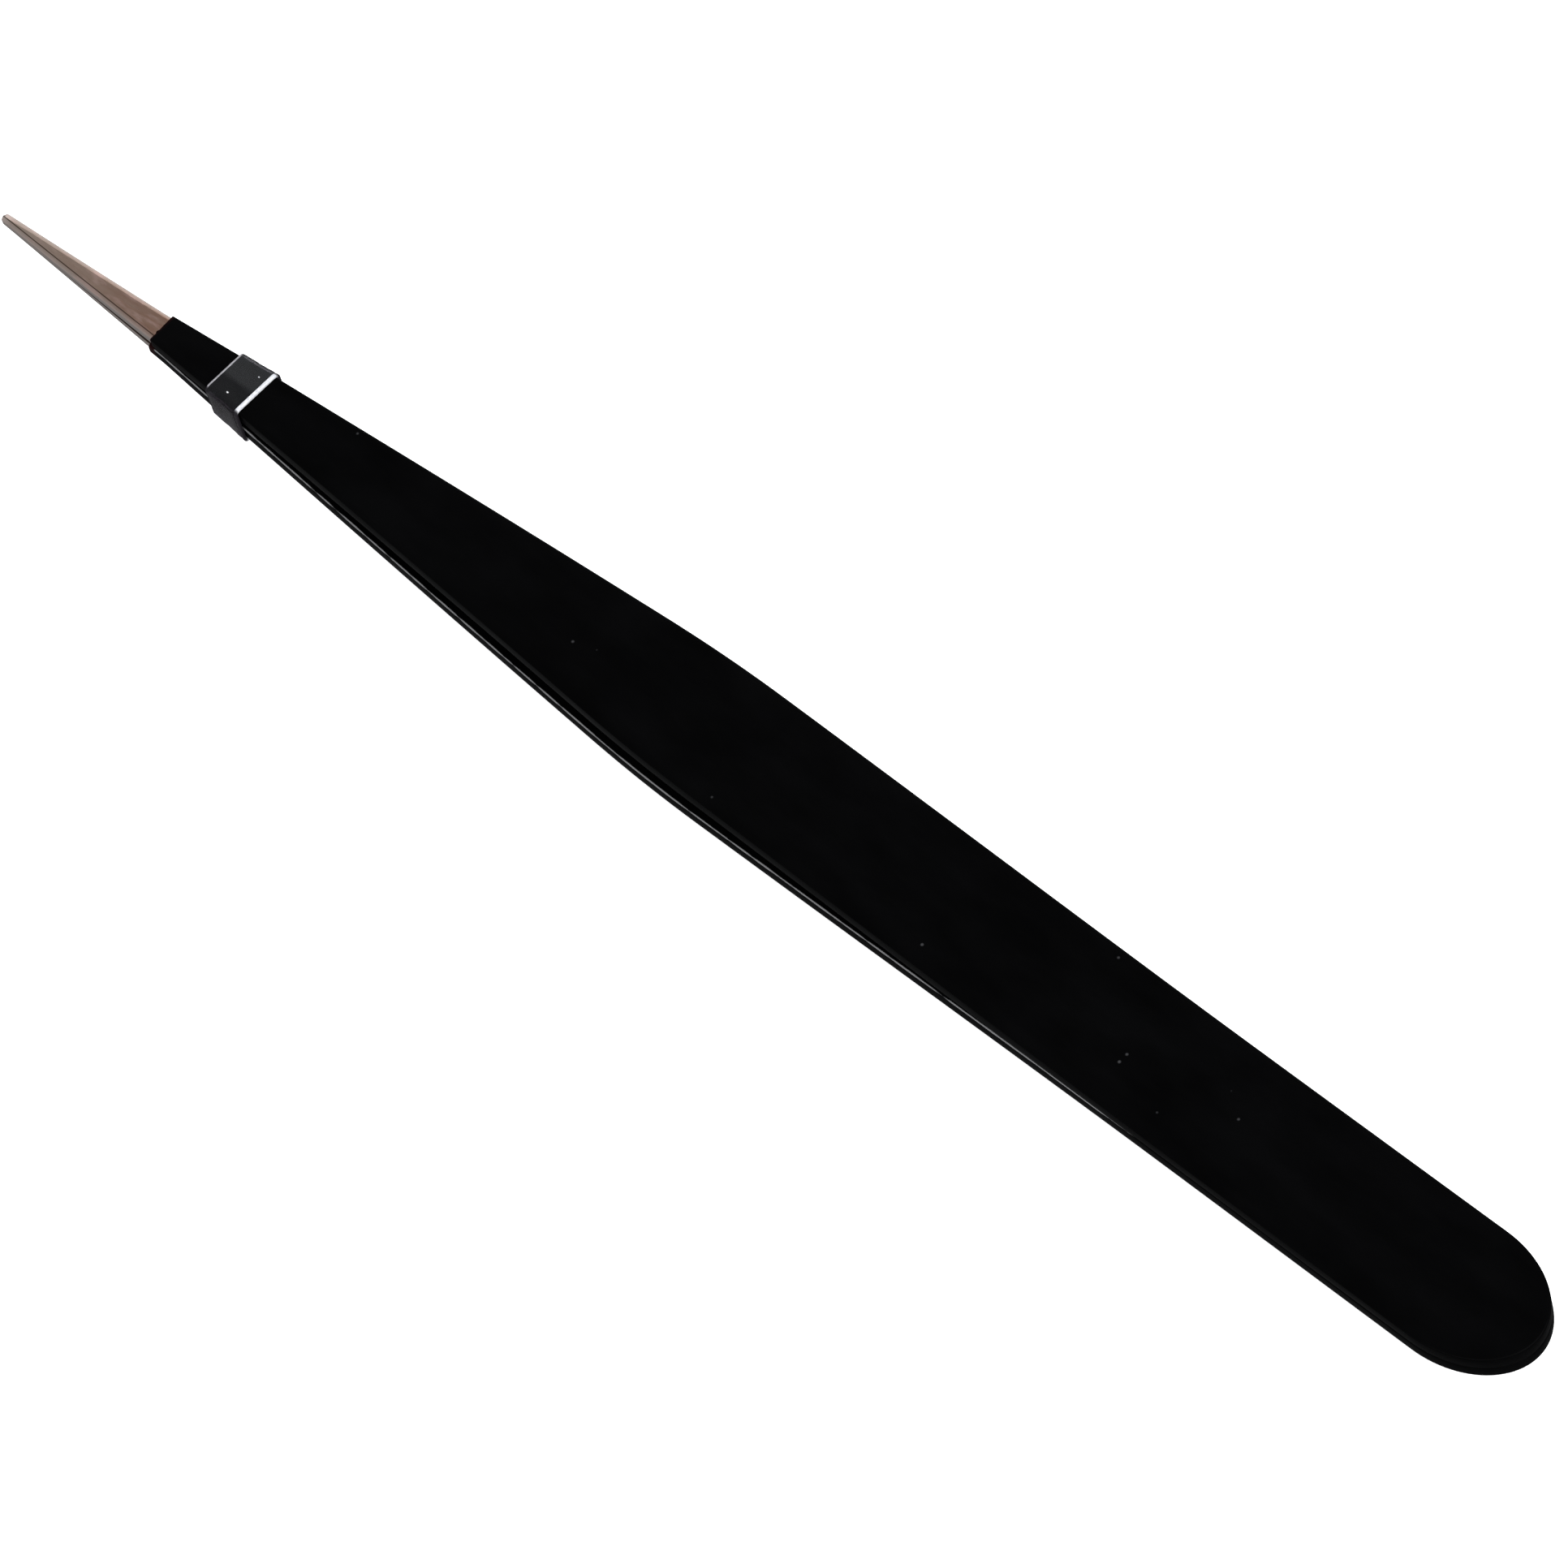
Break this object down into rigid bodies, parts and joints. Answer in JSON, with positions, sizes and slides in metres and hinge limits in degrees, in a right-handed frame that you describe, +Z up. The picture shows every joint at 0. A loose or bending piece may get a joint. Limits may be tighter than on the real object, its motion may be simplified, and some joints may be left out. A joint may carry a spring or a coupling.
{
  "type": "precision tweezers",
  "caption": "Straight fine-point spring steel tweezers with a black insulating coat, bare points, welded rounded heel and a clear sleeve that holds the points shut.",
  "frame": {"origin": "middle of the length and width, on the plane that the lower arm rests on", "axes": "+X along the tweezers to the points, +Y across the leaves, +Z up through both leaves"},
  "size_m": [0.14, 0.0092, 0.004],
  "materials": {
    "steel": "ground stainless steel, warm grey, fine lines along the point",
    "weld_metal": "fused steel, hidden between the leaves",
    "coat": "smooth satin black baked coat",
    "clear_sleeve": "clear soft plastic with bright cut ends"
  },
  "bodies": {
    "heel": {"upper_heel": "steel", "lower_heel": "steel", "heel_coat": "coat", "spot_welds": "weld_metal"},
    "upper_arm": {"upper_blade": "steel", "upper_coat": "coat"},
    "lower_arm": {"lower_blade": "steel", "lower_coat": "coat"},
    "band": {"clear_band": "clear_sleeve"}
  },
  "joints": [
    {"name": "upper_arm_flex", "type": "hinge", "parent": "heel", "child": "upper_arm", "pos_m": [-0.044, 0, 0.00248], "axis": [0, -1, 0], "range_deg": [0, 1.75], "stiffness_Nm_per_rad": 3, "springref_deg": 1.75},
    {"name": "lower_arm_flex", "type": "hinge", "parent": "heel", "child": "lower_arm", "pos_m": [-0.044, 0, 0.00156], "axis": [0, -1, 0], "range_deg": [-1.75, 0]},
    {"name": "band_slide", "type": "slide", "parent": "heel", "child": "band", "axis": [1, 0, 0], "range_m": [0, 0.074]}
  ],
  "couplings": [
    {"joint": "lower_arm_flex", "follows": "upper_arm_flex", "ratio": -1},
    {"joint": "band_slide", "follows": "upper_arm_flex", "m_per_rad": 2.4}
  ]
}
